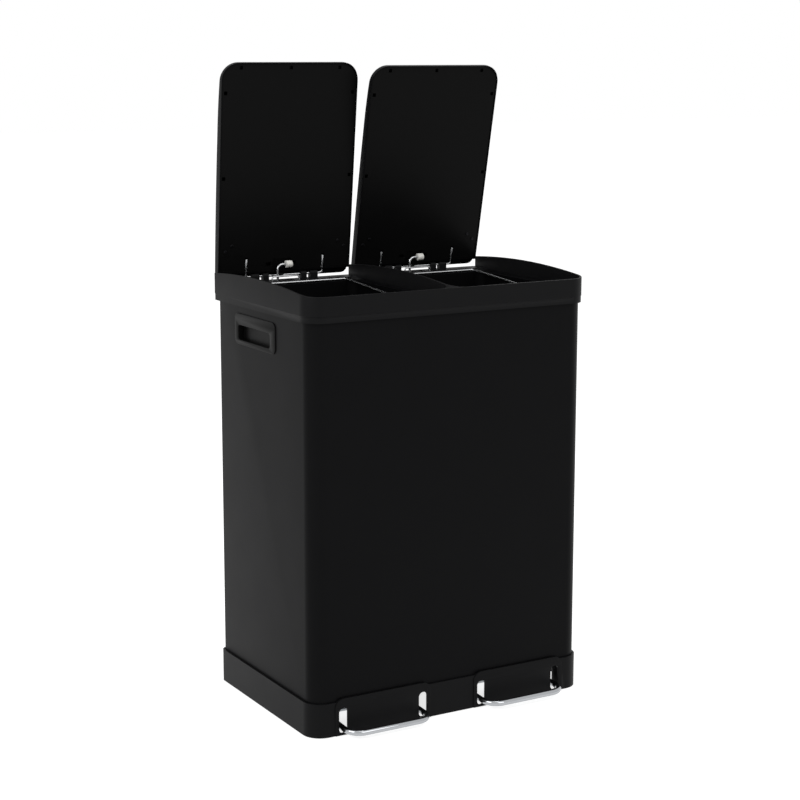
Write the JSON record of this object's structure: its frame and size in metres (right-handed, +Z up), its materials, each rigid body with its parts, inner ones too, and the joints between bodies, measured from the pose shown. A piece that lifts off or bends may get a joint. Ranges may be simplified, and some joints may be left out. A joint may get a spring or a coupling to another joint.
{
  "type": "double recycling bin",
  "caption": "Tall floor-standing recycling bin with side-by-side lift-out buckets, hinged lids opened by bar pedals, and hand-holds in its sides.",
  "frame": {"origin": "middle of the bounding box, on the floor under the feet", "axes": "+Z up, +X to the right of someone facing the pedals, +Y to the back, where the lids hinge"},
  "size_m": [0.4796, 0.3558, 0.9693],
  "materials": {
    "painted_steel": "fine-textured matt black powder coat",
    "black_moulding": "satin moulded",
    "satin_moulding": "satin moulded",
    "lid_moulding": "satin moulded",
    "bucket_moulding": "fine spark texture",
    "foot_rubber": "matt",
    "pedal_chrome": "polished",
    "bright_wire": "bright drawn",
    "plated_steel": "zinc plated",
    "white_nylon": "satin moulded"
  },
  "bodies": {
    "body": {"body_shell": "painted_steel", "back_panel": "painted_steel", "rod_clips": "white_nylon", "top_frame": "black_moulding", "base_skirt": "black_moulding", "base_feet": "foot_rubber", "hand_hold_left": "satin_moulding", "hand_hold_right": "satin_moulding", "guide_wire_left": "bright_wire", "guide_wire_right": "bright_wire", "pivot_bracket_left": "plated_steel", "pivot_bracket_right": "plated_steel", "pivot_pin_left": "plated_steel", "pivot_pin_right": "plated_steel", "frame_screws": "plated_steel", "base_screws": "plated_steel"},
    "lid_left_body": {"lid_cover_left": "lid_moulding", "lid_liner_left": "satin_moulding", "hinge_wire_left": "bright_wire", "lid_screws_left": "plated_steel"},
    "rod_left_body": {"lift_rod_left": "bright_wire", "rod_cap_left": "white_nylon"},
    "pedal_left_body": {"pedal_left": "pedal_chrome", "pedal_lever_left": "plated_steel"},
    "bucket_left_body": {"bucket_left": "bucket_moulding"},
    "bail_left_body": {"bail_left": "bright_wire"},
    "lid_right_body": {"lid_cover_right": "lid_moulding", "lid_liner_right": "satin_moulding", "hinge_wire_right": "bright_wire", "lid_screws_right": "plated_steel"},
    "rod_right_body": {"lift_rod_right": "bright_wire", "rod_cap_right": "white_nylon"},
    "pedal_right_body": {"pedal_right": "pedal_chrome", "pedal_lever_right": "plated_steel"},
    "bucket_right_body": {"bucket_right": "bucket_moulding"},
    "bail_right_body": {"bail_right": "bright_wire"}
  },
  "joints": [
    {"name": "lid_left_hinge", "type": "hinge", "parent": "body", "child": "lid_left_body", "pos_m": [-0.1194, 0.1673, 0.641], "axis": [-1, 0, 0], "range_deg": [-82.3, 8]},
    {"name": "rod_left_slide", "type": "slide", "parent": "body", "child": "rod_left_body", "axis": [0, 0, 1], "range_m": [-0.0245, 0.0024]},
    {"name": "pedal_left_hinge", "type": "hinge", "parent": "body", "child": "pedal_left_body", "pos_m": [-0.1194, -0.0297, 0.0215], "axis": [1, 0, 0], "range_deg": [-7.5, 0.8]},
    {"name": "bucket_left_lift", "type": "slide", "parent": "body", "child": "bucket_left_body", "axis": [0, 0, 1], "range_m": [0, 0.12]},
    {"name": "bail_left_hinge", "type": "hinge", "parent": "bucket_left_body", "child": "bail_left_body", "pos_m": [-0.1194, -0.00135, 0.621], "axis": [1, 0, 0], "range_deg": [0, 165]},
    {"name": "lid_right_hinge", "type": "hinge", "parent": "body", "child": "lid_right_body", "pos_m": [0.1194, 0.1673, 0.641], "axis": [-1, 0, 0], "range_deg": [-76.2, 14.1]},
    {"name": "rod_right_slide", "type": "slide", "parent": "body", "child": "rod_right_body", "axis": [0, 0, 1], "range_m": [-0.0227, 0.0042]},
    {"name": "pedal_right_hinge", "type": "hinge", "parent": "body", "child": "pedal_right_body", "pos_m": [0.1194, -0.0297, 0.0215], "axis": [1, 0, 0], "range_deg": [-7, 1.3]},
    {"name": "bucket_right_lift", "type": "slide", "parent": "body", "child": "bucket_right_body", "axis": [0, 0, 1], "range_m": [0, 0.12]},
    {"name": "bail_right_hinge", "type": "hinge", "parent": "bucket_right_body", "child": "bail_right_body", "pos_m": [0.1194, -0.00135, 0.621], "axis": [1, 0, 0], "range_deg": [0, 165]}
  ],
  "couplings": [
    {"joint": "rod_left_slide", "follows": "lid_left_hinge", "m_per_rad": 0.017},
    {"joint": "pedal_left_hinge", "follows": "lid_left_hinge", "ratio": 0.090909},
    {"joint": "rod_right_slide", "follows": "lid_right_hinge", "m_per_rad": 0.017},
    {"joint": "pedal_right_hinge", "follows": "lid_right_hinge", "ratio": 0.090909}
  ]
}
